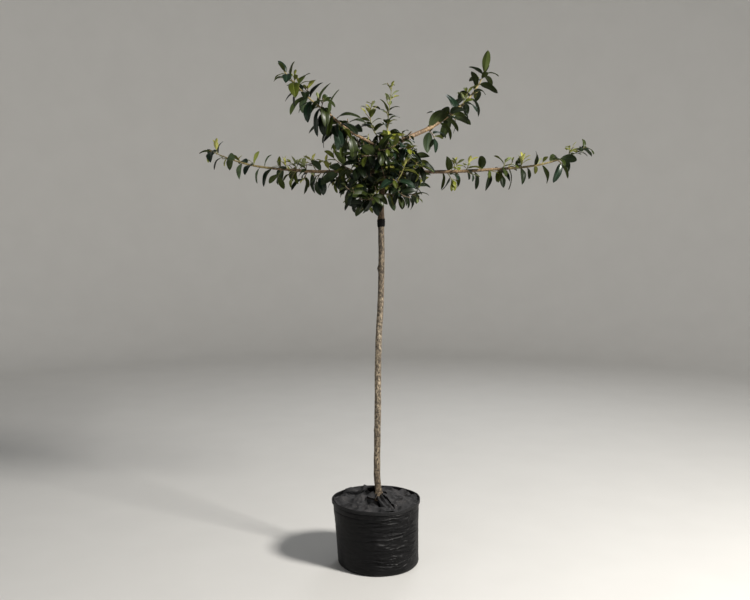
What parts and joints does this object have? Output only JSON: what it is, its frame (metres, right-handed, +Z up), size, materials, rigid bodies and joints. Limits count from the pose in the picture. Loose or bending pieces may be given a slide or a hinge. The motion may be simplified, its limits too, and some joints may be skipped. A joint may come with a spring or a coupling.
{
  "type": "potted standard tree",
  "caption": "Potted standard photinia: a clear grafted stem in a soft black grow bag, two level arms, two rising arms and a leafy head round the fork.",
  "frame": {"origin": "middle of the bag's flat underside", "axes": "+Z up along the stem; the two level arms lie along X, -Y is the side seen in front"},
  "size_m": [1.7322, 0.9438, 2.374],
  "materials": {
    "bark": "mottled grey-brown bark",
    "leaf": "dark green glossy leaves",
    "bag_fabric": "soft black woven plastic",
    "soil": "moist brown compost",
    "weed_mat": "crumpled dark grey weed mat"
  },
  "bodies": {
    "root": {"bough_left": "bark", "bough_right": "bark", "bough_upper_left": "bark", "bough_upper_right": "bark", "foliage_centre_01": "leaf", "foliage_centre_02": "leaf", "foliage_centre_03": "leaf", "foliage_centre_04": "leaf", "foliage_centre_05": "leaf", "foliage_centre_06": "leaf", "foliage_centre_07": "leaf", "foliage_centre_08": "leaf", "foliage_centre_09": "leaf", "foliage_centre_10": "leaf", "foliage_centre_11": "leaf", "foliage_centre_12": "leaf", "foliage_left": "leaf", "foliage_right": "leaf", "foliage_top_left": "leaf", "foliage_top_right": "leaf", "foliage_upper_left": "leaf", "foliage_upper_right": "leaf", "grow_bag": "bag_fabric", "root_ball": "soil", "trunk": "bark", "weed_mat": "weed_mat"}
  },
  "joints": []
}
